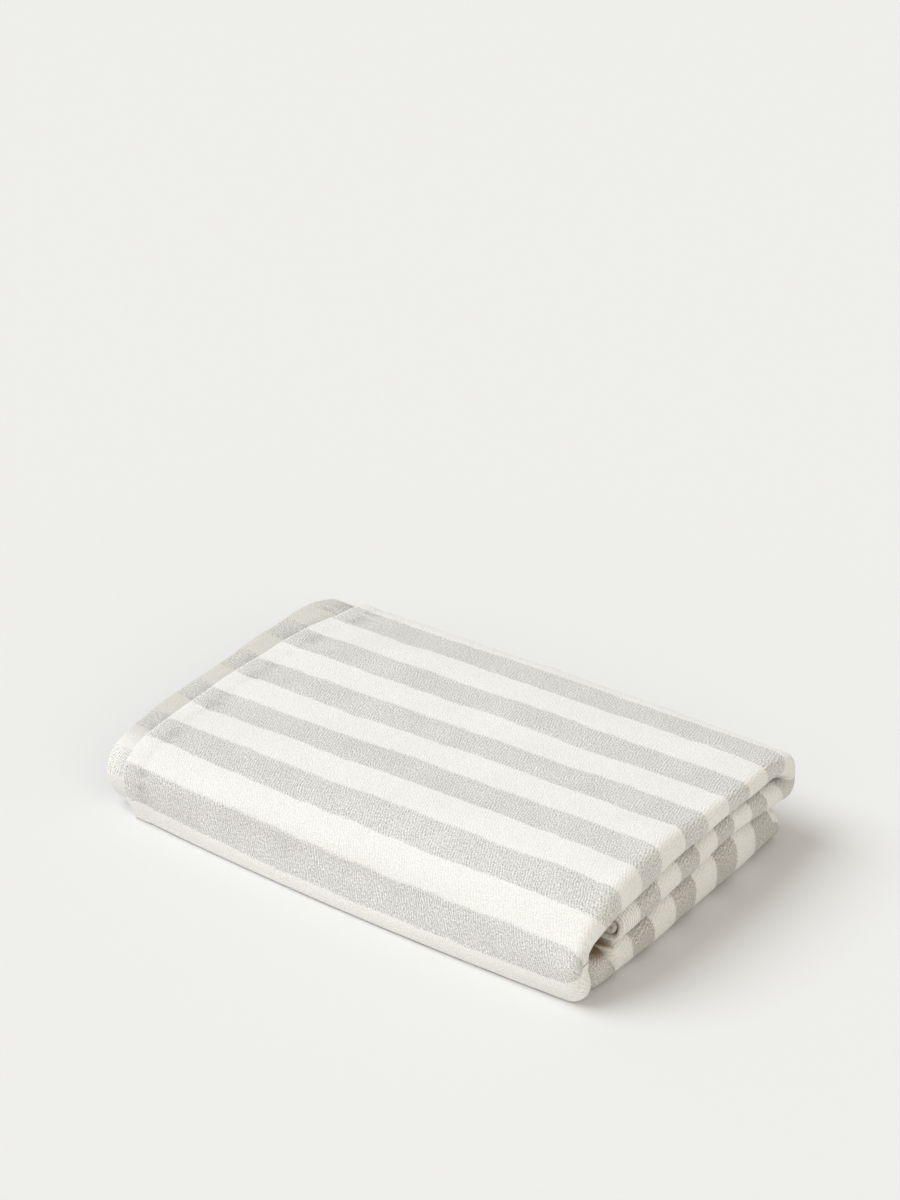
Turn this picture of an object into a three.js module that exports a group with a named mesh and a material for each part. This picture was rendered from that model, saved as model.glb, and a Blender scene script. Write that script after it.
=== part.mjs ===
import * as THREE from 'three';

// Striped bath towel, folded and lying flat. Millimetres, +Z up.
// X runs along the stripes, toward the end where the cloth turns back on itself.
// Y runs from the rounded front fold to the back, where the pleat is.
// The towel is 700 wide by about 1380 long. It is folded in half and in half again
// along its length, which makes a packet of four layers, and the packet is then
// folded in thirds across its width, like a letter.

// Driving sizes
const LENGTH = 335;          // where the turned end lies along X; X = 0 is at the top layer's lip
const THIN = 2.95;           // one layer with its pile, where the folds press it
const THICK = 4.6;           // one layer with its pile, where it lies loose
const AIR = 0.4;             // the least air between two layers of a packet
const TURN_IN = 9;           // how far the hidden fold stops short of the lip
const BOXY = 0.78;           // roundness of the turned end: 1 is round, less is squarer

// Origin: the middle of the box around the towel, on the surface it lies on
const CENTRE_X = 159.5;
const CENTRE_Y = 123.68;

// Grid steps
const STEPS = { top: 5, nose: 8, under: 4, hidden: 4, inner: 6, return: 5 };

// The section of the packet of four layers, one row for each turn of the letter fold:
// from the free edge under the back, forward along the floor, up round the front, back
// over the top, down at the pleat and forward again to the free edge inside. The outer
// face and the inner face each have a y and a z. Three values are the ones at the lip,
// halfway along and at the turned end.
const SECTION = [
  { outerY: [226, 226, 225], outerZ: 0, innerY: [226, 226, 225], innerZ: [14, 18, 19] },
  { outerY: 212, outerZ: 0, innerY: 212, innerZ: [14.8, 20, 27] },
  { outerY: 175, outerZ: 0, innerY: 175, innerZ: [15.2, 20.8, 31.4] },
  { outerY: 115, outerZ: 0, innerY: 115, innerZ: [14.4, 19.3, 25] },
  { outerY: 65, outerZ: 0, innerY: 65, innerZ: [13.4, 18, 21] },
  { outerY: [34, 34, 36], outerZ: 0, innerY: 44, innerZ: [13.2, 17.8, 20.2] },
  { outerY: [13, 10.5, 18], outerZ: 0.3, innerY: [37, 37, 34.5], innerZ: [13.6, 18.2, 18.2] },
  { outerY: [10.5, 7.2, 14.5], outerZ: 4.5, innerY: [33.5, 33.5, 30], innerZ: [15.2, 20, 18.6] },
  { outerY: [8.4, 8.4, 12], outerZ: 12, innerY: [31.5, 31.5, 27.6], innerZ: [17.5, 22, 21.4] },
  {
    outerY: [7.4, 14, 13.5],
    outerZ: [23.6, 24.1, 26.3],
    innerY: [31, 32, 28.4],
    innerZ: [20.3, 25, 27],
  },
  {
    outerY: [13, 19.5, 24],
    outerZ: [35.3, 36.7, 40.1],
    innerY: [33, 35.5, 34.6],
    innerZ: [24, 29.5, 31.4],
  },
  {
    outerY: [29, 32, 33.5],
    outerZ: [42.2, 45.2, 50.8],
    innerY: [39, 42, 42.5],
    innerZ: [27.2, 33.2, 35.4],
  },
  { outerY: [46.5, 49, 48.7], outerZ: [43.4, 50.9, 59], innerY: 51, innerZ: [28.1, 35.2, 38] },
  { outerY: 68, outerZ: [44.4, 53.6, 63.1], innerY: 68, innerZ: [28.5, 35.5, 40] },
  { outerY: 95, outerZ: [46, 55, 64.9], innerY: 95, innerZ: [29.4, 36.2, 43] },
  { outerY: 130, outerZ: [48.7, 56.2, 64.5], innerY: 130, innerZ: [31, 37.8, 46.4] },
  { outerY: 175, outerZ: [49.6, 57, 61.8], innerY: 175, innerZ: [32.9, 39.6, 48.2] },
  { outerY: 213, outerZ: [47, 54.8, 58.2], innerY: 212, innerZ: [32, 38.4, 44.2] },
  { outerY: 237, outerZ: [42.1, 49.4, 52.6], innerY: 224.5, innerZ: [29.9, 35.8, 42] },
  { outerY: 240, outerZ: [30, 38, 41], innerY: 226.2, innerZ: [29.3, 35.3, 41] },
  { outerY: 234, outerZ: [18, 23, 27], innerY: 224.5, innerZ: [28.8, 34.8, 40.4] },
  { outerY: 216, outerZ: [15.6, 20.8, 28.2], innerY: 212, innerZ: [31, 37.4, 43.4] },
  { outerY: 175, outerZ: [16.1, 21.6, 32.3], innerY: 175, innerZ: [31.9, 38.7, 47.3] },
  { outerY: 120, outerZ: [15.3, 20.2, 26.4], innerY: 120, innerZ: [29.9, 36.8, 44.6] },
  { outerY: 75, outerZ: [14.3, 18.9, 22.4], innerY: 75, innerZ: [27.9, 34.9, 39.8] },
  { outerY: [46, 46, 52], outerZ: [14, 18.7, 21.8], innerY: [52, 52, 57], innerZ: [27.4, 34.2, 36.4] },
];

// Where the lip lies along X, at rows of the section: it draws back under the front fold
const LIP = [
  { row: 0, out: 12 },
  { row: 6, out: 12 },
  { row: 7, out: 11 },
  { row: 8, out: 8 },
  { row: 9, out: 5.5 },
  { row: 10, out: 3.5 },
  { row: 11, out: 2 },
  { row: 13, out: 0 },
  { row: 15, out: 0 },
  { row: 17, out: 2 },
  { row: 25, out: 3 },
];

// How far the inner layer's hem comes out past X = 0, at rows of the section
const REACH = [
  { row: 0, out: 0 },
  { row: 5, out: 0 },
  { row: 6, out: 4 },
  { row: 7, out: 7 },
  { row: 8, out: 9.5 },
  { row: 10, out: 11 },
  { row: 11, out: 13 },
  { row: 12, out: 16 },
  { row: 13, out: 19 },
  { row: 15, out: 17.5 },
  { row: 16, out: 16 },
  { row: 17, out: 13 },
  { row: 25, out: 10 },
];

// How much farther than the length the turned end comes out, at rows of the section
const END = [
  { row: 0, out: -1 },
  { row: 1, out: 0 },
  { row: 2, out: 3 },
  { row: 16, out: 3 },
  { row: 17, out: 0.5 },
  { row: 19, out: -2 },
  { row: 20, out: 0.5 },
  { row: 22, out: 3 },
  { row: 25, out: 3 },
];

const mix = (a, b, u) => a + (b - a) * u;

// The section's rows at x, on smooth curves from the lip through the middle
function sectionRows(x) {
  const u = Math.min(Math.max(x / LENGTH, 0), 1);
  const share = [(1 - u) * (1 - 2 * u), 4 * u * (1 - u), u * (2 * u - 1)];
  const value = (entry) => {
    const [lip, middle, turned] = Array.isArray(entry) ? entry : [entry, entry, entry];
    return lip * share[0] + middle * share[1] + turned * share[2];
  };
  return SECTION.map((row) => ({
    outerY: value(row.outerY),
    outerZ: value(row.outerZ),
    innerY: value(row.innerY),
    innerZ: value(row.innerZ),
  }));
}

// Steps across the width, counted in rows: two to a row, three where the cloth turns
function widthSteps(rowCount) {
  const steps = [];
  for (let row = 0; row < rowCount - 1; row++) {
    const turning = (row >= 5 && row <= 8) || (row >= 17 && row <= 20);
    const parts = row < 4 || row > 20 ? 1 : turning ? 3 : 2;
    for (let part = 0; part < parts; part++) steps.push(row + part / parts);
  }
  steps.push(rowCount - 1);
  return steps;
}

// Smooth curve through four neighbouring values
function through(before, from, to, after, f) {
  const bend = 2 * before - 5 * from + 4 * to - after;
  const twist = -before + 3 * from - 3 * to + after;
  return 0.5 * (2 * from + (to - before) * f + bend * f * f + twist * f * f * f);
}

// The packet's outer and inner face at x, at one step across the width
function faces(x, step) {
  const rows = sectionRows(x);
  const i = Math.min(Math.floor(step), rows.length - 2);
  const f = step - i;
  const value = (key) => {
    const from = rows[i][key];
    const to = rows[i + 1][key];
    const before = i > 0 ? rows[i - 1][key] : 2 * from - to;
    const after = i + 2 < rows.length ? rows[i + 2][key] : 2 * to - from;
    return through(before, from, to, after, f);
  };
  return {
    outer: new THREE.Vector2(value('outerY'), Math.max(value('outerZ'), 0)),
    inner: new THREE.Vector2(value('innerY'), value('innerZ')),
  };
}

// The point at x, at a depth measured from the packet's outer face to its inner face
function place(x, step, depth) {
  const { outer, inner } = faces(x, step);
  const across = inner.clone().sub(outer).normalize().multiplyScalar(depth);
  return new THREE.Vector3(x - CENTRE_X, outer.x + across.x - CENTRE_Y, outer.y + across.y);
}

// How far out a table of rows has the cloth at one step across the width
function outAt(table, step) {
  const next = table.findIndex((entry) => entry.row >= step);
  if (next === 0) return table[0].out;
  const [from, to] = [table[next - 1], table[next]];
  return mix(from.out, to.out, (step - from.row) / (to.row - from.row));
}

// The cloth's thickness, which fills a packet of four layers but for a little air
function clothAt(packetDepth) {
  return Math.min(Math.max((packetDepth - 3 * AIR) / 4, THIN), THICK);
}

// The cloth's path along its length at one step across the width. Each station has
// its x, the depth of the layer's middle, the direction that its outside faces and
// its thickness.
function path(step) {
  const depthAt = (x) => {
    const { outer, inner } = faces(x, step);
    return outer.distanceTo(inner);
  };
  const layers = (x) => {
    const depth = depthAt(x);
    const cloth = clothAt(depth);
    return { depth, cloth, pitch: (depth - cloth) / 3 };
  };
  const end = layers(LENGTH);
  const reach = end.pitch / 2 + end.cloth + 0.8;
  const turn = LENGTH + outAt(END, step) - end.cloth / 2 - reach;
  const lip = outAt(LIP, step);
  const turnIn = lip + TURN_IN;
  const stations = [];
  const layer = (from, to, steps, order, facing) => {
    for (let k = 0; k < steps; k++) {
      const x = mix(from, to, k / steps);
      const { cloth, pitch } = layers(x);
      stations.push({ x, depth: cloth / 2 + order * pitch, nx: 0, nd: facing, cloth });
    }
  };

  // The outer turn, with a flat end and round corners
  layer(lip, turn, STEPS.top, 0, -1);
  for (let k = 0; k < STEPS.nose; k++) {
    const a = Math.PI * k / STEPS.nose;
    const side = Math.sign(Math.cos(a));
    const x = turn + reach * Math.sin(a) ** BOXY;
    const { depth, cloth } = layers(x);
    const half = (depth - cloth) / 2;
    const normal = new THREE.Vector2(
      Math.sin(a) ** (2 - BOXY) / reach,
      -side * Math.abs(Math.cos(a)) ** (2 - BOXY) / half,
    ).normalize();
    const middle = depth / 2 - side * half * Math.abs(Math.cos(a)) ** BOXY;
    stations.push({ x, depth: middle, nx: normal.x, nd: normal.y, cloth });
  }

  // The innermost layer, the hidden fold and the layer above it
  layer(turn, turnIn, STEPS.under, 3, 1);
  const hidden = layers(turnIn);
  for (let k = 0; k < STEPS.hidden; k++) {
    const a = Math.PI * k / STEPS.hidden;
    const half = hidden.pitch / 2;
    const middle = hidden.cloth / 2 + 5 * half + half * Math.cos(a);
    const x = turnIn - half * Math.sin(a);
    stations.push({ x, depth: middle, nx: -Math.sin(a), nd: Math.cos(a), cloth: hidden.cloth });
  }
  layer(turnIn, turn, STEPS.under, 2, -1);

  // The inner turn, inside the outer one, and the layer that comes out past the lip
  const inside = layers(turn);
  for (let k = 0; k < STEPS.inner; k++) {
    const a = Math.PI * k / STEPS.inner;
    const half = inside.pitch / 2;
    const middle = inside.cloth / 2 + 3 * half + half * Math.cos(a);
    const x = turn + half * Math.sin(a);
    stations.push({ x, depth: middle, nx: -Math.sin(a), nd: -Math.cos(a), cloth: inside.cloth });
  }
  const edge = -outAt(REACH, step);
  layer(turn, edge, STEPS.return, 1, 1);
  const hem = layers(edge);
  stations.push({ x: edge, depth: hem.cloth / 2 + hem.pitch, nx: 0, nd: 1, cloth: hem.cloth });
  return stations;
}

// One closed solid of the whole cloth: its outside, its reverse and its four edges
function clothGeometry() {
  const widths = widthSteps(sectionRows(0).length);
  const paths = widths.map(path);
  const along = paths[0].length;
  const across = widths.length;
  const positions = [];
  for (const side of [1, -1]) {
    for (let j = 0; j < across; j++) {
      for (const station of paths[j]) {
        const reach = side * station.cloth / 2;
        const x = station.x + reach * station.nx;
        const p = place(x, widths[j], station.depth + reach * station.nd);
        positions.push(p.x, p.y, p.z);
      }
    }
  }
  const vertex = (side, j, i) => (side * across + j) * along + i;
  const indices = [];
  const quad = (a, b, c, d) => indices.push(a, b, c, a, c, d);
  for (let j = 0; j < across - 1; j++) {
    for (let i = 0; i < along - 1; i++) {
      quad(vertex(0, j, i), vertex(0, j, i + 1), vertex(0, j + 1, i + 1), vertex(0, j + 1, i));
      quad(vertex(1, j, i), vertex(1, j + 1, i), vertex(1, j + 1, i + 1), vertex(1, j, i + 1));
    }
    for (const [i, flip] of [[0, false], [along - 1, true]]) {
      const a = vertex(0, j, i);
      const b = vertex(0, j + 1, i);
      const c = vertex(1, j + 1, i);
      const d = vertex(1, j, i);
      if (flip) quad(a, d, c, b);
      else quad(a, b, c, d);
    }
  }
  for (let i = 0; i < along - 1; i++) {
    for (const [j, flip] of [[0, true], [across - 1, false]]) {
      const a = vertex(0, j, i);
      const b = vertex(0, j, i + 1);
      const c = vertex(1, j, i + 1);
      const d = vertex(1, j, i);
      if (flip) quad(a, d, c, b);
      else quad(a, b, c, d);
    }
  }
  const geometry = new THREE.BufferGeometry();
  geometry.setAttribute('position', new THREE.Float32BufferAttribute(positions, 3));
  if (enclosed(positions, indices) < 0) indices.reverse();
  geometry.setIndex(indices);
  geometry.computeVertexNormals();
  return geometry;
}

// Six times the enclosed volume, which is negative where the faces point in
function enclosed(positions, indices) {
  const point = (n) => new THREE.Vector3().fromArray(positions, 3 * n);
  let total = 0;
  for (let k = 0; k < indices.length; k += 3) {
    total += point(indices[k]).dot(point(indices[k + 1]).cross(point(indices[k + 2])));
  }
  return total;
}

const cotton = new THREE.MeshStandardMaterial({ color: 0xeeede7, roughness: 0.95, metalness: 0 });

const towel = new THREE.Mesh(clothGeometry(), cotton);
towel.name = 'towel';

const folded = new THREE.Group();
folded.add(towel);

export default folded;
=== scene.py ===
import math

import bpy
import numpy as np
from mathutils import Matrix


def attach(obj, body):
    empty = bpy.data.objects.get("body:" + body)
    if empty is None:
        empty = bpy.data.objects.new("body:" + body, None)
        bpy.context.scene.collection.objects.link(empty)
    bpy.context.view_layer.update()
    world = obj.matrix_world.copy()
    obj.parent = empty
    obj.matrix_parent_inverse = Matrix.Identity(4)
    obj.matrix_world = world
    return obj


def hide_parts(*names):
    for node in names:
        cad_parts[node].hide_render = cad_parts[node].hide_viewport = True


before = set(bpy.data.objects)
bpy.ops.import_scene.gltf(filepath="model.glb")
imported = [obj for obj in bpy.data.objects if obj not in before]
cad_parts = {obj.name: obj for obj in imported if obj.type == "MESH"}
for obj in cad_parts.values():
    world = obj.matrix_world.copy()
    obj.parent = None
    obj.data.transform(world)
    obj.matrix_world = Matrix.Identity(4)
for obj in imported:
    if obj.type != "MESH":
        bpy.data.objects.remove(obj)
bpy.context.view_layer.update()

# The towel's frame: metres, +X along the stripes, +Y from the front fold to the back.
# The sizes below are in millimetres.
MM = 0.001

# The folded towel
LENGTH = 335.0          # where the turned end lies along X; X = 0 is at the top layer's lip
WIDTH = 700.0           # the cloth's width, round the letter fold
LIP = [
    # width, where the lip lies along X there: it draws back under the front fold
    (0, 12), (216, 12), (222, 11), (230, 8), (240, 5.5), (253, 3.5), (270, 2),
    (309, 0), (360, 0.5), (400, 3.5), (432, 4.5), (446, 6.5), (459, 9), (482, 9), (520, 5), (700, 5),
]
REACH = [
    # width, how far the inner layer's hem comes out past X = 0 there
    (0, 0), (197, 0), (216, 5), (222, 9), (230, 12), (253, 13.5), (270, 14.5),
    (288, 16.5), (309, 19), (373, 17.5), (430, 17.5), (462, 17.5), (482, 13), (700, 9),
]
SHRINK = 0.97           # length along the section of one unit of flat cloth
THIN = 2.95             # one layer with its pile, where the folds press it
THICK = 4.6             # one layer with its pile, where it lies loose
AIR = 0.4               # the least air between two layers of a packet
TURN_IN = 9.0           # how far the hidden fold stops short of the lip
NEST = 0.8              # air between the outer pair of layers and the inner one where they turn
END = [
    # width, how much farther the turned end comes out there
    (0, -1), (15, 0), (60, 3), (236, 3), (247, 0.5), (257, 0), (278, 3),
    (415, 3), (440, 0.5), (468, -2), (495, 0.5), (525, 3), (700, 3),
]
REACH_MOST = max(row[1] for row in REACH)
BOXY = 0.78             # roundness of the turned end: 1 is round, less is squarer
CENTRE = (159.5, 123.68)    # the middle of the folded towel's box

# Stripes across the width, from the free edge under the back
EDGE_WHITE = 10.5
STRIPE = 22.0

# Hems
HEM = 14.5              # from the edge to the stitching
HEM_RISE = 0.45         # how much thicker the doubled cloth is
STITCH_DIP = 0.6        # how deep the stitching pulls in
STITCH_HALF = 3.6       # how wide the dip is, to each side
HEM_BLEND = 3.0         # half the distance over which the doubled cloth ends
HEM_EDGE = (1.4, 3.4)   # from the edge, where the stripes are faint
SEAM_SHADE = {"inside": 1.0, "half": 5.0, "even": 0.7, "uneven": 0.5}     # painted shade in the stitching's groove
EDGE_ROUND = {"outer": 1.7, "inside": 0.9}     # radius of the cloth's edges, by free edge
LEAST = 0.001           # the share of its thickness that the cloth keeps at its very edge

# The section of the packet of four layers, one row for each turn of the letter fold:
# from the free edge under the back, forward along the floor, up round the front, back
# over the top, down at the pleat and forward again to the free edge inside. The outer
# face and the inner face each have a y and a z. Three values are the ones at the lip,
# halfway along and at the turned end.
SECTION = [
    # outer y, outer z, inner y, inner z
    ((226, 226, 225), 0, (226, 226, 225), (14, 18, 19)),
    (212, 0, 212, (14.8, 20, 27)),
    (175, 0, 175, (15.2, 20.8, 31.4)),
    (115, 0, 115, (14.4, 19.3, 25)),
    (65, 0, 65, (13.4, 18, 21)),
    ((34, 34, 36), 0, 44, (13.2, 17.8, 20.2)),
    ((13, 10.5, 18), 0.3, (37, 37, 34.5), (13.6, 18.2, 18.2)),
    ((10.5, 7.2, 14.5), 4.5, (33.5, 33.5, 30), (15.2, 20, 18.6)),
    ((8.4, 8.4, 12), 12, (31.5, 31.5, 27.6), (17.5, 22, 21.4)),
    ((7.4, 14, 13.5), (23.6, 24.1, 26.3), (31, 32, 28.4), (20.3, 25, 27)),
    ((13, 19.5, 24), (35.3, 36.7, 40.1), (33, 35.5, 34.6), (24, 29.5, 31.4)),
    ((29, 32, 33.5), (42.2, 45.2, 50.8), (39, 42, 42.5), (27.2, 33.2, 35.4)),
    ((46.5, 49, 48.7), (43.4, 50.9, 59), 51, (28.1, 35.2, 38)),
    (68, (44.4, 53.6, 63.1), 68, (28.5, 35.5, 40)),
    (95, (46, 55, 64.9), 95, (29.4, 36.2, 43)),
    (130, (48.7, 56.2, 64.5), 130, (31, 37.8, 46.4)),
    (175, (49.6, 57, 61.8), 175, (32.9, 39.6, 48.2)),
    (213, (47, 54.8, 58.2), 212, (32, 38.4, 44.2)),
    (237, (42.1, 49.4, 52.6), 224.5, (29.9, 35.8, 42)),
    (240, (30, 38, 41), 226.2, (29.3, 35.3, 41)),
    (234, (18, 23, 27), 224.5, (28.8, 34.8, 40.4)),
    (216, (15.6, 20.8, 28.2), 212, (31, 37.4, 43.4)),
    (175, (16.1, 21.6, 32.3), 175, (31.9, 38.7, 47.3)),
    (120, (15.3, 20.2, 26.4), 120, (29.9, 36.8, 44.6)),
    (75, (14.3, 18.9, 22.4), 75, (27.9, 34.9, 39.8)),
    ((46, 46, 52), (14, 18.7, 21.8), (52, 52, 57), (27.4, 34.2, 36.4)),
]
TRACED = 0.12           # how deep in the packet widths are measured, as a share of its depth
TRACED_POINTS = 1600

# The mesh of the cloth
COLUMNS = 244
COLUMN_DENSITY = [
    # width, columns per mm against the flat: closer where the cloth turns
    (0, 0.4), (180, 0.5), (205, 1.7), (262, 1.7), (300, 1.0),
    (440, 1.0), (452, 1.8), (492, 1.8), (505, 0.5), (700, 0.5),
]
EDGE_COLUMNS = np.array([0.25, 0.8, 1.6])
EDGE_ROWS = np.array([0, 0.25, 0.8, 1.6, 3, 5, 7.5, 10, 12.5, 14, 15.5, 17, 19, 22])
FIRST_ROW = 26          # where the even rows of the top layer start
LAYER_RUN = 320         # about how far one layer runs
ROWS = {"top": 84, "turned end": 25, "inner": 9, "small turn": 7, "last turn": 9, "last": 15}

# Slow unevenness, as seeds, the size of the waves and their height
RIPPLE = {"seed": 3, "size": 60, "height": 0.5}     # of the turned end, in and out
SWELL = {"seed": 5, "size": 75, "height": 0.45}     # of the surface
PUCKER = {"seed": 8, "size": 22, "height": 0.16}    # of the surface, finer
PULL = {"seed": 11, "size": 9, "waves": 5}          # of the stitching along a hem
LYING = (2, 14)         # heights between which the unevenness sets in

# Creases that run down the turned end, from a height above the surface to another.
# The cloth dips toward the lip along each, steeply in front of it, gently behind it.
CREASES = [
    # between the front fold and the bottom roll
    {
        "z": (0, 6, 12, 17, 22.5, 25, 29),
        "y": (24.5, 26.5, 28, 27.5, 25.6, 28, 29.5),
        "depth": (4.5, 7.0, 7.5, 7.5, 7.5, 4.0, 0.0),
        "front": 1.8,
        "back": 8.0,
    },
    # in the corner of the bottom roll, under the hole
    {
        "z": (6, 12, 16, 20, 26, 32),
        "y": (50, 48.5, 47.5, 46, 42, 38),
        "depth": (0.0, 4.0, 9.0, 11.0, 8.0, 0.0),
        "front": 1.5,
        "back": 3.0,
    },
]
CREASED = {"widths": (160, 290), "x": (300, 328)}   # the cloth that the creases take in

# Stripes at the turned end of the front fold: the grey one ends there, tucked away. Its
# half width shrinks to nothing between two distances past the turn.
TUCKED = {
    "middle": 241.5,
    "half": 11.0,
    "spread": 26.0,
    "starts": -2.0,
    "ends": 7.5,
    "clear": 4.0,
    "past": 45.0,
}
# The pleat of the bottom roll's corner: where its grey stripe meets the next white one
PLEAT = {
    "first": 186.5,
    "last": 208.5,
    "z": (0, 4.5, 14.6, 22, 27),
    "y": (53.5, 52, 45, 41, 38),
    "x": (LENGTH - 20, LENGTH - 12),
    "least_width": 140,
    "fades": 25,
    "lean": 0.36,
}
BACK_Y = 226            # where the free edge under the back lies

# How far the stripes sit from their even places, by the distance from the lip
STRIPE_SHIFT = {
    "x": (0, 80, 160, 240, 305, 340),
    "rows": [
        # width, shift at each x
        (200, (0, 0, 0, 0, 0, 0)),
        (225, (-2, -1, -0.5, 0.5, 1.5, 2)),
        (250, (-2, -0.5, 0.5, 2.3, 4.3, 5)),
        (280, (0, 0.8, 2, 4, 6.2, 7)),
        (320, (1.5, 2, 1.7, 3.5, 8, 9.5)),
        (360, (3, 3.8, 2, 3.5, 6, 7)),
        (400, (3, 3, 2.3, 5, 5, 4.5)),
        (430, (2, 3.6, 1.5, 2.5, 2.3, 1.5)),
        (455, (1, 2.5, 1, 1, 0.5, 0)),
        (480, (0, 0, 0, 0, 0, 0)),
        (515, (-2, -2, -2, -2, -2, -2)),
        (545, (2.5, 2.5, 2.5, 2.5, 2.5, 2.5)),
        (575, (7.5, 7.5, 7.5, 7.5, 7.5, 7.5)),
        (600, (13.5, 13.5, 13.5, 13.5, 13.5, 13.5)),
        (632, (17, 17, 17, 17, 17, 17)),
        (675, (20, 20, 20, 20, 20, 20)),
        (700, (13, 13, 13, 13, 13, 13)),
    ],
}

# Where the strip of hem that comes out past the lip is pale, on the front fold
PALE = (262.0, 288.0)

# Painted shade: the bottom roll's grey is deeper and warmer, and the middle roll's too, in part
ROLL_SHADE = {"bottom": (185.0, 215.0), "middle": (500.0, 540.0), "middle_share": 0.6}

# Where the turned end is ribbed, near the free edge inside
RIBBED = {"widths": (690.0, 693.0), "before_turn": 12, "past_turn": 50}
RIB = 1.9

# Painted shade in the hollow in the front fold at the turned end, dark brown as only light off
# warm cloth reaches it: where it lies, and how the painted shade also takes in the creases
HOLLOW_SHADE = {
    "x": (277.0, 293.0),
    "widths": (150.0, 300.0),
    "y": (54.0, 50.0),
    "z": (17.0, 20.0),
    "depth": (0.8, 0.93),
    "creases": (4.0, 10.0),
    "crease_share": 0.6,
}

# The free edge under the back is grey where it lies lowest, at the turned end
BACK_EDGE = {"shift": 9.5, "widths": (34, 2), "z": (18, 12)}

# How far the hem that comes out past the lip has slipped toward the back, under the top
SLIPPED = {"by": 8.0, "from_hem": (120, 60)}
# How far it springs up at the back corner
SPRUNG = {"rise": 2.5, "starts": (410, 448), "ends": (505, 475), "past_lip": (0, -8)}


def smooth(low, high, x):
    t = np.clip((x - low) / (high - low), 0, 1)
    return t * t * (3 - 2 * t)


# A table's value at each width
def column(table, w):
    return np.interp(w, [row[0] for row in table], [row[1] for row in table])


# The section's rows at x, on smooth curves from the lip through the middle
def section_rows(x):
    u = np.clip(x / LENGTH, 0, 1)
    share = ((1 - u) * (1 - 2 * u), 4 * u * (1 - u), u * (2 * u - 1))
    rows = []
    for row in SECTION:
        values = [np.broadcast_to(np.array(entry, dtype=float), 3) for entry in row]
        rows.append([sum(value[k] * share[k] for k in range(3)) for value in values])
    return np.array(rows)


# Smooth curve through the rows; t counts rows
def through(rows, t):
    last = len(rows) - 1
    i = np.minimum(t.astype(int), last - 1)
    f = (t - i)[:, None, None]
    first, end = 2 * rows[0] - rows[1], 2 * rows[last] - rows[last - 1]
    padded = np.concatenate([first[None], rows, end[None]])
    a, b, c, d = padded[i], padded[i + 1], padded[i + 2], padded[i + 3]
    bend = 2 * a - 5 * b + 4 * c - d
    twist = 3 * b - a - 3 * c + d
    return 0.5 * (2 * b + (c - a) * f + bend * f ** 2 + twist * f ** 3)


# The packet's two faces on a grid of x and of distance across the width
class Packet:
    STEP = 4.0

    def __init__(self, widths):
        self.x = np.arange(-REACH_MOST - self.STEP, LENGTH + 2 * self.STEP, self.STEP)
        rows = section_rows(self.x)
        t = np.linspace(0, len(rows) - 1, TRACED_POINTS)
        fine = through(rows, t)
        fine[:, 1] = np.maximum(fine[:, 1], 0)
        traced = (1 - TRACED) * fine[:, 0:2] + TRACED * fine[:, 2:4]
        step = np.linalg.norm(np.diff(traced, axis=0), axis=1)
        run = np.concatenate([np.zeros((1, len(self.x))), np.cumsum(step, axis=0)])
        self.faces = np.empty((len(self.x), len(widths), 5))
        for n in range(len(self.x)):
            place = widths / WIDTH * run[-1, n]
            for k in range(4):
                self.faces[n, :, k] = np.interp(place, run[:, n], fine[:, k, n])
            self.faces[n, :, 4] = place / SHRINK

    def at(self, x):
        """Outer face, inner face and flat width; x has a column for each width."""
        place = np.clip((x - self.x[0]) / self.STEP, 0, len(self.x) - 1.001)
        i = place.astype(int)
        f = (place - i)[..., None]
        j = np.arange(self.faces.shape[1])[None, :]
        value = self.faces[i, j] * (1 - f) + self.faces[i + 1, j] * f
        return value[..., 0:2], value[..., 2:4], value[..., 4]

    def layers(self, x):
        """Depth of the packet, thickness of one layer and the step between layers."""
        outer, inner, _ = self.at(x)
        depth = np.linalg.norm(inner - outer, axis=-1)
        cloth = np.clip((depth - 3 * AIR) / 4, THIN, THICK)
        return depth, cloth, (depth - cloth) / 3


# Slow unevenness: a seeded sum of waves, about one high
def waves(seed, size, count=7):
    rng = np.random.default_rng(seed)
    angle = rng.uniform(0, 2 * np.pi, count)
    scale = 2 * np.pi / (size * rng.uniform(0.7, 1.6, count))
    phase = rng.uniform(0, 2 * np.pi, count)
    turn = rng.uniform(-0.8, 0.8, count)

    def value(a, b):
        total = np.zeros(np.broadcast(a, b).shape)
        for k in range(count):
            along = a * np.cos(angle[k]) + b * np.sin(angle[k])
            across = b * np.cos(angle[k]) - a * np.sin(angle[k])
            total += np.sin(along * scale[k] + phase[k] + turn[k] * np.sin(across * scale[k] * 0.6))
        return total / math.sqrt(count)
    return value


# Columns across the width, closer where the cloth turns
def width_columns():
    places = np.linspace(0, WIDTH, 2001)
    weight = column(COLUMN_DENSITY, places)
    run = np.concatenate([[0], np.cumsum((weight[1:] + weight[:-1]) / 2)])
    inside = np.interp(np.linspace(0, run[-1], COLUMNS), run, places)
    return np.unique(np.concatenate([inside, EDGE_COLUMNS, WIDTH - EDGE_COLUMNS]))


# How thick the cloth is, as a share, near an edge that lies d away
def rounded_edge(d, radius):
    t = np.clip(d / radius, 0, 1)
    return np.sqrt(np.maximum(1 - (1 - t) ** 2, 0)) * (1 - LEAST) + LEAST


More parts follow.
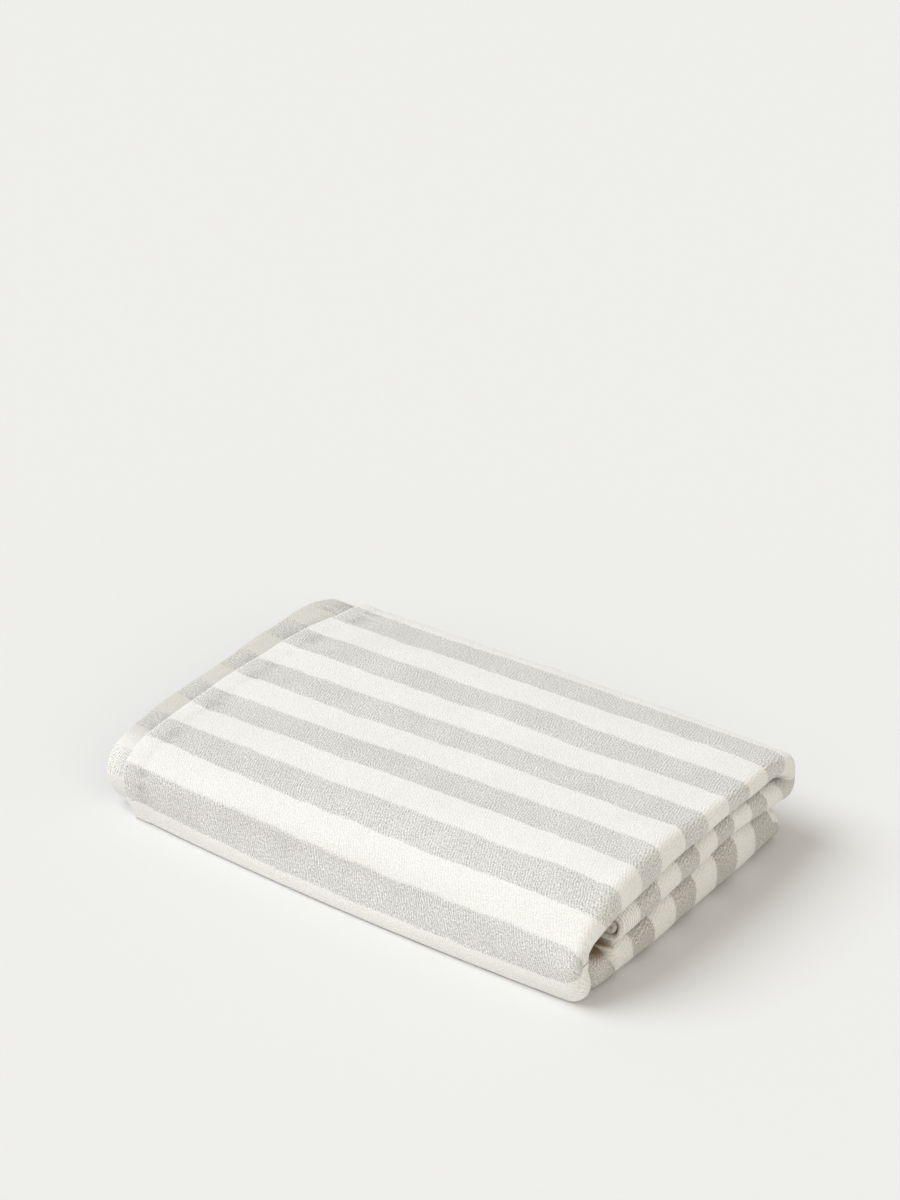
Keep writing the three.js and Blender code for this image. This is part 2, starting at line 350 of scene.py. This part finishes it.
# The cloth's path along its length for each column: stations of x, depth of the
# layer's middle, direction its outside faces, and thickness
class Path:
    def __init__(self, shape, w):
        self.shape = shape
        self.w = w
        self.rows = []

    def station(self, x, depth, nx, nd, cloth):
        zero = np.zeros_like(self.w)
        self.rows.append([value + zero for value in (x, depth, nx, nd, cloth)])

    def layer(self, shares, start, end, order, facing):
        for share in shares:
            x = start + (end - start) * share + np.zeros_like(self.w)
            _, cloth, pitch = self.shape.layers(x)
            self.station(x, cloth / 2 + order * pitch, 0, facing, cloth)

    def turned_end(self, turn, reach, count):
        for a in np.linspace(0, math.pi, count)[:-1]:
            side = np.sign(math.cos(a))
            sine, cosine = math.sin(a), abs(math.cos(a))
            x = turn + reach * sine ** BOXY
            depth, cloth, _ = self.shape.layers(x)
            half = (depth - cloth) / 2
            nx = sine ** (2 - BOXY) / reach
            nd = -side * cosine ** (2 - BOXY) / half
            size = np.hypot(nx, nd)
            self.station(x, depth / 2 - side * half * cosine ** BOXY, nx / size, nd / size, cloth)

    def small_turn(self, centre, order, way, count):
        """A round turn between two neighbouring layers, from the inner to the outer one."""
        _, cloth, pitch = self.shape.layers(centre + np.zeros_like(self.w))
        for a in np.linspace(0, math.pi, count)[:-1]:
            x = centre + way * pitch / 2 * math.sin(a)
            depth = cloth / 2 + pitch * (order + math.cos(a)) / 2
            self.station(x, depth, -math.sin(a), -way * math.cos(a), cloth)

    def all(self):
        return [np.concatenate(values) for values in zip(*self.rows)]


# How far the creases take a point of the turned end toward the lip
def crease_depth(x, y, z, flat):
    first, last = CREASED["widths"]
    inside = smooth(*CREASED["x"], x) * (flat > first) * (flat < last)
    total = 0
    for crease in CREASES:
        off = y - np.interp(z, crease["z"], crease["y"])
        depth = np.interp(z, crease["z"], crease["depth"])
        steep = np.exp(-(off / crease["front"]) ** 2)
        gentle = 1 / (1 + (off / crease["back"]) ** 2) ** 2
        total = total + depth * np.where(off < 0, steep, gentle)
    return total * inside


# How far the stripes sit from their even places
def stripe_shift(x, w):
    total = 0
    places = [row[0] for row in STRIPE_SHIFT["rows"]]
    for k in range(len(STRIPE_SHIFT["x"])):
        share = np.interp(x, STRIPE_SHIFT["x"], np.arange(len(STRIPE_SHIFT["x"])) == k)
        total = total + share * np.interp(w, places, [row[1][k] for row in STRIPE_SHIFT["rows"]])
    return total


# Where each point lies across the flat cloth once the corner has taken its tucks
def corner_stripes(x, y, z, flat, past_turn):
    edge = np.interp(z, CREASES[0]["z"], CREASES[0]["y"])
    t = TUCKED
    along = np.clip((past_turn - t["starts"]) / (t["ends"] - t["starts"]), 0, 1)
    shown = t["half"] * np.sqrt(1 - along ** 2) + 0.02
    shown = np.where(past_turn < t["past"], np.minimum(shown, t["half"]), t["half"])
    start = t["half"] + t["clear"] * (1 - shown / t["half"])
    off = flat - t["middle"]
    size = np.abs(off)
    within = size * t["half"] / shown
    beyond = start + (size - shown) * (t["spread"] - start) / (t["spread"] - shown)
    moved = np.where(size < shown, within, np.where(size < t["spread"], beyond, size))
    front = t["middle"] + np.sign(off) * moved

    q = PLEAT
    far = np.interp(z, q["z"], q["y"])
    share = (y - edge) / (far - edge)
    inner = q["last"] - (q["last"] - q["first"]) * share
    at_far = (BACK_Y - far) / SHRINK + q["lean"] * z / SHRINK
    rest = flat + (q["first"] - at_far) * (1 - smooth(0, q["fades"], y - far))
    back = np.where(share < 1, inner, rest)
    in_roll = (z <= q["z"][-1]) & (flat >= q["least_width"]) & (flat <= CREASED["widths"][1])
    back = flat + (back - flat) * smooth(*q["x"], x)
    return np.where((y >= edge) & in_roll, back, front)


# The cloth's path through its folds, and the row at which the turned end starts. Layers
# are counted from the packet's outside, 0 to 3; a small turn has the sum of the two it joins.
def folded_path(shape, w, lip):
    _, end_cloth, end_pitch = shape.layers(LENGTH + 0 * w)
    reach = end_pitch / 2 + end_cloth + NEST
    ripple = waves(RIPPLE["seed"], RIPPLE["size"])(w, 0 * w)
    turn = LENGTH - end_cloth / 2 - reach + column(END, w) + RIPPLE["height"] * (ripple - 1)
    turn_in = lip + TURN_IN
    near_lip = EDGE_ROWS / LAYER_RUN
    top = np.linspace(FIRST_ROW / LAYER_RUN, 1, ROWS["top"])[:-1]
    inner = np.linspace(0, 1, ROWS["inner"])[:-1]
    near_hem = 1 - EDGE_ROWS[::-1] / (LAYER_RUN + REACH_MOST)
    last = np.linspace(0, near_hem[0], ROWS["last"])[:-1]

    path = Path(shape, w)
    path.layer(np.concatenate([near_lip, top]), lip, turn, 0, -1)
    first_turned = len(path.rows)
    path.turned_end(turn, reach, ROWS["turned end"])
    path.layer(inner, turn, turn_in, 3, 1)
    path.small_turn(turn_in, 5, -1, ROWS["small turn"])
    path.layer(inner, turn_in, turn, 2, -1)
    path.small_turn(turn, 3, 1, ROWS["last turn"])
    path.layer(np.concatenate([last, near_hem]), turn, -column(REACH, w), 1, 1)
    return path, first_turned


# How far the stripes sit from even places on the free edge under the back
def back_edge_shift(flat, z):
    lowest = smooth(*BACK_EDGE["widths"], flat) * smooth(*BACK_EDGE["z"], z)
    return BACK_EDGE["shift"] * lowest


# How much painted shade a point has in the hollow, deep in the packet at the front corner
def hollow_shade_share(x, y, z, w, deep):
    low, high = HOLLOW_SHADE["widths"]
    inside = smooth(*HOLLOW_SHADE["depth"], deep) * (w > low) * (w < high)
    return inside * smooth(*HOLLOW_SHADE["y"], y) * smooth(*HOLLOW_SHADE["z"], z) * smooth(*HOLLOW_SHADE["x"], x)


def build_cloth():
    widths = width_columns()
    shape = Packet(widths)
    w = widths[None, :]
    lip = column(LIP, w)
    path, first_turned = folded_path(shape, w, lip)
    x, depth, nx, nd, cloth = path.all()

    # Distance along the cloth, from the lip
    mid = np.stack([x, depth], axis=2)
    step = np.linalg.norm(np.diff(mid, axis=0), axis=2)
    run = np.concatenate([np.zeros((1, len(widths))), np.cumsum(step, axis=0)])
    total = run[-1:, :]
    turned_at = run[first_turned:first_turned + 1]
    from_end = np.minimum(run, total - run)
    from_side = np.minimum(w, WIDTH - w) + 0 * run
    side_round = np.where(w > WIDTH / 2, EDGE_ROUND["inside"], EDGE_ROUND["outer"])
    thick = rounded_edge(from_end, EDGE_ROUND["outer"]) * rounded_edge(from_side, side_round)

    # The doubled hems and the dip of their stitching, on the outside
    rise = 1 - smooth(HEM - HEM_BLEND, HEM + HEM_BLEND, from_end)
    dip = np.exp(-((from_end - HEM) / STITCH_HALF) ** 2)
    pull = waves(PULL["seed"], PULL["size"], PULL["waves"])(w + 0 * run, 0 * run)
    hemmed = HEM_RISE * rise * thick - STITCH_DIP * dip * (1 + 0.5 * pull)

    sprung = smooth(*SPRUNG["starts"], w) * smooth(*SPRUNG["ends"], w)
    sprung = SPRUNG["rise"] * sprung * smooth(*SPRUNG["past_lip"], x - lip)
    sides = []
    for side, extra in ((1, hemmed), (-1, 0)):
        out = side * cloth / 2 * thick + extra
        px = x + out * nx
        outer, inner, even = shape.at(px)
        size = np.linalg.norm(inner - outer, axis=2)
        across = (inner - outer) / size[..., None]
        yz = outer + across * (depth + out * nd)[..., None]
        y, z = yz[..., 0], yz[..., 1]
        dented = crease_depth(px, y, z, even)
        if side > 0:
            placed = even + stripe_shift(px, even) + back_edge_shift(even, z)
            flat = corner_stripes(px, y, z, placed, run - turned_at)
            flat = flat - SLIPPED["by"] * smooth(*SLIPPED["from_hem"], total - run)
            # Painted shade in the hollow at the front corner and in the creases
            hollow_shade = hollow_shade_share(px, y, z, w, (depth + out * nd) / size)
            crease_shade = HOLLOW_SHADE["crease_share"] * smooth(*HOLLOW_SHADE["creases"], dented)
            hollow_shade = np.maximum(hollow_shade, crease_shade)
        sides.append(np.stack([px - dented - CENTRE[0], y - CENTRE[1], z + sprung], axis=2))
    make_uneven(sides)

    # Painted shade in the groove of the stitching along each hem
    seam_shade = np.exp(-((from_end - HEM - SEAM_SHADE["inside"]) / SEAM_SHADE["half"]) ** 2)
    # Painted shade on the grey of the bottom roll and, in part, the middle roll
    low = 1 - smooth(*ROLL_SHADE["bottom"], w + 0 * run)
    low = low + ROLL_SHADE["middle_share"] * smooth(*ROLL_SHADE["middle"], w + 0 * run)
    on_end = (run > turned_at - RIBBED["before_turn"]) & (run < turned_at + RIBBED["past_turn"])
    marks = {
        "hem": 1 - smooth(*HEM_EDGE, from_end),
        "seam_shade": seam_shade * np.clip(SEAM_SHADE["even"] + SEAM_SHADE["uneven"] * pull, 0, 1),
        "hollow_shade": hollow_shade,
        "pale": 1 - smooth(*PALE, w + 0 * run),
        "low": low,
        "ribbed": smooth(*RIBBED["widths"], flat) * on_end,
    }
    return cloth_object(sides, run, flat, marks)


# Slow unevenness of the surface, none where the cloth meets what it lies on
def make_uneven(sides):
    swell = waves(SWELL["seed"], SWELL["size"])
    pucker = waves(PUCKER["seed"], PUCKER["size"])
    for points in sides:
        px, py, pz = points[..., 0], points[..., 1], points[..., 2]
        lift = SWELL["height"] * swell(px, py) + PUCKER["height"] * pucker(px, py)
        pz += smooth(*LYING, pz) * lift
        pz[:] = np.maximum(pz, 0)


# One closed thick mesh from the two sides of the cloth
def cloth_object(sides, run, flat, marks):
    rows, columns = run.shape
    positions = np.concatenate([points.reshape(-1, 3) for points in sides]) * MM
    index = np.arange(rows * columns).reshape(rows, columns)
    other = index + rows * columns
    quads = []

    def strip(a, b, c, d):
        quads.append(np.stack([a.ravel(), b.ravel(), c.ravel(), d.ravel()], axis=1))

    strip(index[:-1, :-1], index[:-1, 1:], index[1:, 1:], index[1:, :-1])
    strip(other[:-1, :-1], other[1:, :-1], other[1:, 1:], other[:-1, 1:])
    strip(index[0, :-1], other[0, :-1], other[0, 1:], index[0, 1:])
    strip(index[-1, :-1], index[-1, 1:], other[-1, 1:], other[-1, :-1])
    strip(index[:-1, 0], index[1:, 0], other[1:, 0], other[:-1, 0])
    strip(index[:-1, -1], other[:-1, -1], other[1:, -1], index[1:, -1])
    faces = np.concatenate(quads)

    mesh = bpy.data.meshes.new("towel_cloth")
    mesh.vertices.add(len(positions))
    mesh.vertices.foreach_set("co", positions.ravel())
    mesh.loops.add(faces.size)
    mesh.loops.foreach_set("vertex_index", faces.ravel())
    mesh.polygons.add(len(faces))
    mesh.polygons.foreach_set("loop_start", np.arange(0, faces.size, 4))
    mesh.polygons.foreach_set("loop_total", np.full(len(faces), 4))
    mesh.polygons.foreach_set("use_smooth", np.ones(len(faces), dtype=bool))
    mesh.update(calc_edges=True)
    mesh.validate()

    corners = faces.ravel()
    u = np.tile((run * MM).ravel(), 2)
    v = np.tile((flat * MM).ravel(), 2)
    layer_uv = mesh.uv_layers.new(name="cloth")
    layer_uv.data.foreach_set("uv", np.stack([u[corners], v[corners]], axis=1).ravel())
    reverse = mesh.attributes.new("reverse", "FLOAT", "POINT")
    flag = np.concatenate([np.zeros(rows * columns), np.ones(rows * columns)])
    reverse.data.foreach_set("value", flag)
    for name, values in marks.items():
        mark = mesh.attributes.new(name, "FLOAT", "POINT")
        mark.data.foreach_set("value", np.tile(values.ravel(), 2))

    cloth = bpy.data.objects.new("towel_cloth", mesh)
    bpy.context.collection.objects.link(cloth)
    return cloth


# Colours of the cloth. The reverse shows on the hem that comes out past the lip.
COLOURS = {
    "white": (0.868, 0.861, 0.836, 1),
    "grey": (0.662, 0.655, 0.637, 1),
    # painted shade on the rolls' grey: deeper and warmer
    "roll shade grey": (0.545, 0.532, 0.500, 1),
    "reverse white": (0.70, 0.68, 0.63, 1),
    "reverse grey": (0.635, 0.63, 0.60, 1),
    "pale white": (0.89, 0.88, 0.85, 1),
    "pale grey": (0.84, 0.835, 0.805, 1),
    # painted shade in the hollow and the creases: dark brown
    "hollow_shade": (0.27, 0.18, 0.105, 1),
}
NOISES = {
    # scale per metre, detail, roughness
    "slow": (45.0, 2.0, 0.6),
    "quick": (900.0, 2.0, 0.6),
    "grain": (980.0, 2.0, 0.65),
    "tuft": (400.0, 2.0, 0.55),
    "drift": (110.0, 2.0, 0.5),
    "patch": (34.0, 3.0, 0.55),
    "fleck": (760.0, 2.0, 0.6),
}
# The cut pile: rows of tufts that slant and drift, and how much each part adds
PILE = {
    "slant": 0.35,
    "row_drift": 2.6,
    "row_height": 0.07,
    "grain_height": 0.85,
    "tuft_height": 0.13,
    "rib_drift": 0.0012,
    "rib_height": 0.2,
    "even_height": 0.49,
    "contrast": 1.9,
    "patches": 0.22,
    "flecks": (0.5, 0.68),
}
# How strongly marks and pile act on the colour, as shares
SHADE = {
    "hem_fades": 0.75,
    "fleck": 0.45,
    "on_white": 0.36,
    "more_on_grey": 0.72,
    # painted shade in the stitching's groove, more on the grey
    "seam_shade": 0.03,
    "more_seam_shade_on_grey": 0.17,
}
BUMP = {"Strength": 0.75, "Distance": 0.0011}


# Shader helpers
def group(name, inputs, outputs):
    tree = bpy.data.node_groups.new(name, "ShaderNodeTree")
    for label, kind, value in inputs:
        socket = tree.interface.new_socket(label, in_out="INPUT", socket_type=kind)
        if value is not None:
            socket.default_value = value
    for label, kind in outputs:
        tree.interface.new_socket(label, in_out="OUTPUT", socket_type=kind)
    return tree, tree.nodes.new("NodeGroupInput"), tree.nodes.new("NodeGroupOutput")


class Maker:
    """Adds nodes to a tree, each wired to what feeds it."""

    def __init__(self, tree):
        self.tree = tree

    def node(self, kind, feeds=(), **settings):
        made = self.tree.nodes.new(kind)
        for key, value in settings.items():
            setattr(made, key, value)
        for key, value in dict(feeds).items():
            if isinstance(value, bpy.types.NodeSocket):
                self.tree.links.new(value, made.inputs[key])
            else:
                made.inputs[key].default_value = value
        return made

    def math(self, operation, a, b=0.0, c=0.0):
        return self.node("ShaderNodeMath", {0: a, 1: b, 2: c}, operation=operation).outputs[0]

    def blend(self, factor, a, b):
        made = self.node("ShaderNodeMix", {0: factor, 6: a, 7: b}, data_type="RGBA")
        return made.outputs[2]

    def noise(self, vector, scale, detail, rough):
        feeds = {"Vector": vector, "Scale": scale, "Detail": detail, "Roughness": rough}
        return self.node("ShaderNodeTexNoise", feeds).outputs["Fac"]

    def ramp(self, value, low, high):
        feeds = {"Value": value, "From Min": low, "From Max": high}
        return self.node("ShaderNodeMapRange", feeds, interpolation_type="SMOOTHSTEP").outputs[0]


def stripe_group():
    """Grey stripes along the cloth, with woven edges that wander a little."""
    tree, given, result = group(
        "woven stripes",
        [("Place", "NodeSocketVector", None), ("First", "NodeSocketFloat", EDGE_WHITE * MM),
         ("Stripe", "NodeSocketFloat", STRIPE * MM), ("Softness", "NodeSocketFloat", 0.0013),
         ("Wander", "NodeSocketFloat", 0.0034)],
        [("Grey", "NodeSocketFloat")])
    m = Maker(tree)
    place = given.outputs["Place"]
    stripe = given.outputs["Stripe"]
    split = m.node("ShaderNodeSeparateXYZ", {0: place})
    slow = m.math("SUBTRACT", m.noise(place, *NOISES["slow"]), 0.5)
    quick = m.math("SUBTRACT", m.noise(place, *NOISES["quick"]), 0.5)
    shift = m.math("MULTIPLY", m.math("ADD", slow, quick), given.outputs["Wander"])
    from_first = m.math("SUBTRACT", m.math("ADD", split.outputs[1], shift), given.outputs["First"])
    pair = m.math("MULTIPLY", stripe, 2.0)
    inside = m.math("WRAP", from_first, pair, 0.0)
    from_edge = m.math("MINIMUM", inside, m.math("SUBTRACT", stripe, inside))
    less = m.math("MULTIPLY", given.outputs["Softness"], -1.0)
    grey = m.ramp(from_edge, less, given.outputs["Softness"])
    tree.links.new(grey, result.inputs["Grey"])
    return tree


def pile_group():
    """Height, tone and stray light fibres of the cut pile, with ribs where it is ribbed."""
    tree, given, result = group(
        "cut pile",
        [("Place", "NodeSocketVector", None), ("Row", "NodeSocketFloat", 0.0017),
         ("Rib", "NodeSocketFloat", RIB * MM), ("Ribbed", "NodeSocketFloat", 0.0)],
        [("Height", "NodeSocketFloat"), ("Tone", "NodeSocketFloat"), ("Fleck", "NodeSocketFloat")])
    m = Maker(tree)
    place = given.outputs["Place"]
    split = m.node("ShaderNodeSeparateXYZ", {0: place})
    grain = m.noise(place, *NOISES["grain"])
    tuft = m.noise(place, *NOISES["tuft"])
    drift = m.noise(place, *NOISES["drift"])
    slant = m.math("ADD", split.outputs[0], m.math("MULTIPLY", split.outputs[1], PILE["slant"]))
    along = m.math("DIVIDE", slant, given.outputs["Row"])
    along = m.math("ADD", along, m.math("MULTIPLY", drift, PILE["row_drift"]))
    wave = m.math("SINE", m.math("MULTIPLY", along, 2 * math.pi))
    row = m.math("MULTIPLY", wave, PILE["row_height"])
    grain = m.math("MULTIPLY", grain, PILE["grain_height"])
    tuft = m.math("MULTIPLY", tuft, PILE["tuft_height"])
    loose = m.math("ADD", grain, tuft)
    across = m.math("ADD", split.outputs[1], m.math("MULTIPLY", drift, PILE["rib_drift"]))
    rib = m.math("SINE", m.math("DIVIDE", across, m.math("DIVIDE", given.outputs["Rib"], 2 * math.pi)))
    rib = m.math("MULTIPLY", m.math("MULTIPLY", rib, PILE["rib_height"]), given.outputs["Ribbed"])
    height = m.math("ADD", m.math("ADD", loose, row), rib)
    tree.links.new(height, result.inputs["Height"])
    patch = m.math("SUBTRACT", m.noise(place, *NOISES["patch"]), 0.5)
    patch = m.math("MULTIPLY", patch, PILE["patches"])
    fine = m.math("SUBTRACT", height, PILE["even_height"])
    tone = m.math("ADD", m.math("MULTIPLY", fine, PILE["contrast"]), patch)
    tree.links.new(m.math("ADD", tone, 0.5), result.inputs["Tone"])
    fleck = m.ramp(m.noise(place, *NOISES["fleck"]), *PILE["flecks"])
    tree.links.new(fleck, result.inputs["Fleck"])
    return tree


def cotton_material():
    material = bpy.data.materials.new("cotton")
    material.use_nodes = True
    tree = material.node_tree
    shader = tree.nodes["Principled BSDF"]
    m = Maker(tree)
    uv = m.node("ShaderNodeUVMap", uv_map="cloth").outputs[0]
    marks = {}
    for name in ("reverse", "hem", "seam_shade", "pale", "hollow_shade", "low", "ribbed"):
        marks[name] = m.node("ShaderNodeAttribute", attribute_name=name).outputs["Fac"]
    stripes = m.node("ShaderNodeGroup", {"Place": uv}, node_tree=stripe_group())
    pile = m.node("ShaderNodeGroup", {"Place": uv, "Ribbed": marks["ribbed"]}, node_tree=pile_group())

    # Stripes, fainter on the hems' edges and where light fibres stray over them
    kept = m.math("SUBTRACT", 1.0, m.math("MULTIPLY", marks["hem"], SHADE["hem_fades"]))
    grey = m.math("MULTIPLY", stripes.outputs["Grey"], kept)
    flecked = m.math("MULTIPLY", pile.outputs["Fleck"], SHADE["fleck"])
    grey = m.math("MULTIPLY", grey, m.math("SUBTRACT", 1.0, flecked))
    # Painted shade on the rolls' grey
    face_grey = m.blend(marks["low"], COLOURS["grey"], COLOURS["roll shade grey"])
    face = m.blend(grey, COLOURS["white"], face_grey)
    back_white = m.blend(marks["pale"], COLOURS["reverse white"], COLOURS["pale white"])
    back_grey = m.blend(marks["pale"], COLOURS["reverse grey"], COLOURS["pale grey"])
    back = m.blend(grey, back_white, back_grey)
    colour = m.blend(marks["reverse"], face, back)
    # Painted shade: dark brown in the hollow and the creases
    colour = m.blend(marks["hollow_shade"], colour, COLOURS["hollow_shade"])

    # The pile's light and dark, deeper in the grey, and painted shade in the stitching's groove
    more = m.math("MULTIPLY", stripes.outputs["Grey"], SHADE["more_on_grey"])
    depth = m.math("ADD", SHADE["on_white"], more)
    shade = m.math("MULTIPLY", m.math("SUBTRACT", pile.outputs["Tone"], 0.5), depth)
    # Painted shade in the stitching's groove, deeper on the grey
    seam_shade_depth = m.math("ADD", SHADE["seam_shade"], m.math("MULTIPLY", grey, SHADE["more_seam_shade_on_grey"]))
    seam_shade_factor = m.math("SUBTRACT", 1.0, m.math("MULTIPLY", marks["seam_shade"], seam_shade_depth))
    shade = m.math("MULTIPLY", m.math("ADD", shade, 1.0), seam_shade_factor)
    lit = m.node("ShaderNodeVectorMath", {0: colour, 3: shade}, operation="SCALE").outputs[0]
    tree.links.new(lit, shader.inputs["Base Color"])
    bump = m.node("ShaderNodeBump", {**BUMP, "Height": pile.outputs["Height"]})
    tree.links.new(bump.outputs[0], shader.inputs["Normal"])
    shader.inputs["Roughness"].default_value = 0.95
    shader.inputs["Specular IOR Level"].default_value = 0.15
    shader.inputs["Sheen Weight"].default_value = 0.3
    shader.inputs["Sheen Roughness"].default_value = 0.5
    return material


towel = build_cloth()
towel.data.materials.append(cotton_material())
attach(towel, "root")
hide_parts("towel")


# Camera at the photograph's angle
CAMERA = {
    "focal_px": 3495.0,
    "photo_px": 1200.0,
    "sensor": 36.0,
    "pitch": 29.64,
    "yaw": 37.25,
    "look_at": (3.3, 335.1, 0.0),
    "distance": 2330.0,
}


def place_camera():
    pitch, yaw = math.radians(CAMERA["pitch"]), math.radians(CAMERA["yaw"])
    forward = np.array([
        -math.sin(yaw) * math.cos(pitch),
        math.cos(yaw) * math.cos(pitch),
        -math.sin(pitch),
    ])
    target = np.array(CAMERA["look_at"]) - np.array([CENTRE[0], CENTRE[1], 0])
    data = bpy.data.cameras.new("photograph view")
    data.sensor_width = CAMERA["sensor"]
    data.lens = CAMERA["focal_px"] * CAMERA["sensor"] / CAMERA["photo_px"]
    data.clip_start = 0.05
    data.clip_end = 50
    camera = bpy.data.objects.new("photograph view", data)
    camera.location = (target - forward * CAMERA["distance"]) * MM
    camera.rotation_euler = (math.pi / 2 - pitch, 0, yaw)
    bpy.context.collection.objects.link(camera)
    bpy.context.scene.camera = camera


def place_floor():
    bpy.ops.object.select_all(action="DESELECT")
    bpy.ops.mesh.primitive_plane_add(size=12, location=(0, 0, 0))
    floor = bpy.context.object
    floor.name = "floor"
    material = bpy.data.materials.new("pale floor")
    material.use_nodes = True
    shader = material.node_tree.nodes["Principled BSDF"]
    shader.inputs["Base Color"].default_value = (0.80, 0.80, 0.80, 1)
    shader.inputs["Roughness"].default_value = 0.9
    shader.inputs["Specular IOR Level"].default_value = 0.1
    floor.data.materials.append(material)


LIGHTS = [
    # name, bearing from the front toward the turned end, height, width, power, colour;
    # the first three measures are in degrees
    ("window", -68, 50, 44, 2.04, (0.90, 0.958, 1.0)),
    ("front", -8, 14, 50, 0.26, (1.0, 0.985, 0.955)),
    ("reflector", 65, 16, 60, 0.65, (1.0, 0.955, 0.745)),
]
SKY = {"colour": (1.0, 0.945, 0.875, 1), "power": 0.55}


# A wide soft light, so far away that the whole floor has it alike
def far_light(name, bearing, height, width, power, colour):
    data = bpy.data.lights.new(name, "SUN")
    data.angle = math.radians(width)
    data.energy = power
    data.color = colour
    light = bpy.data.objects.new(name, data)
    light.rotation_euler = (math.radians(90 - height), 0, math.radians(bearing))
    bpy.context.collection.objects.link(light)


def place_lights():
    bpy.context.scene.view_settings.view_transform = "Standard"
    for light in LIGHTS:
        far_light(*light)
    world = bpy.data.worlds.new("studio")
    world.use_nodes = True
    sky = world.node_tree.nodes["Background"]
    sky.inputs["Color"].default_value = SKY["colour"]
    sky.inputs["Strength"].default_value = SKY["power"]
    bpy.context.scene.world = world


place_camera()
place_floor()
place_lights()
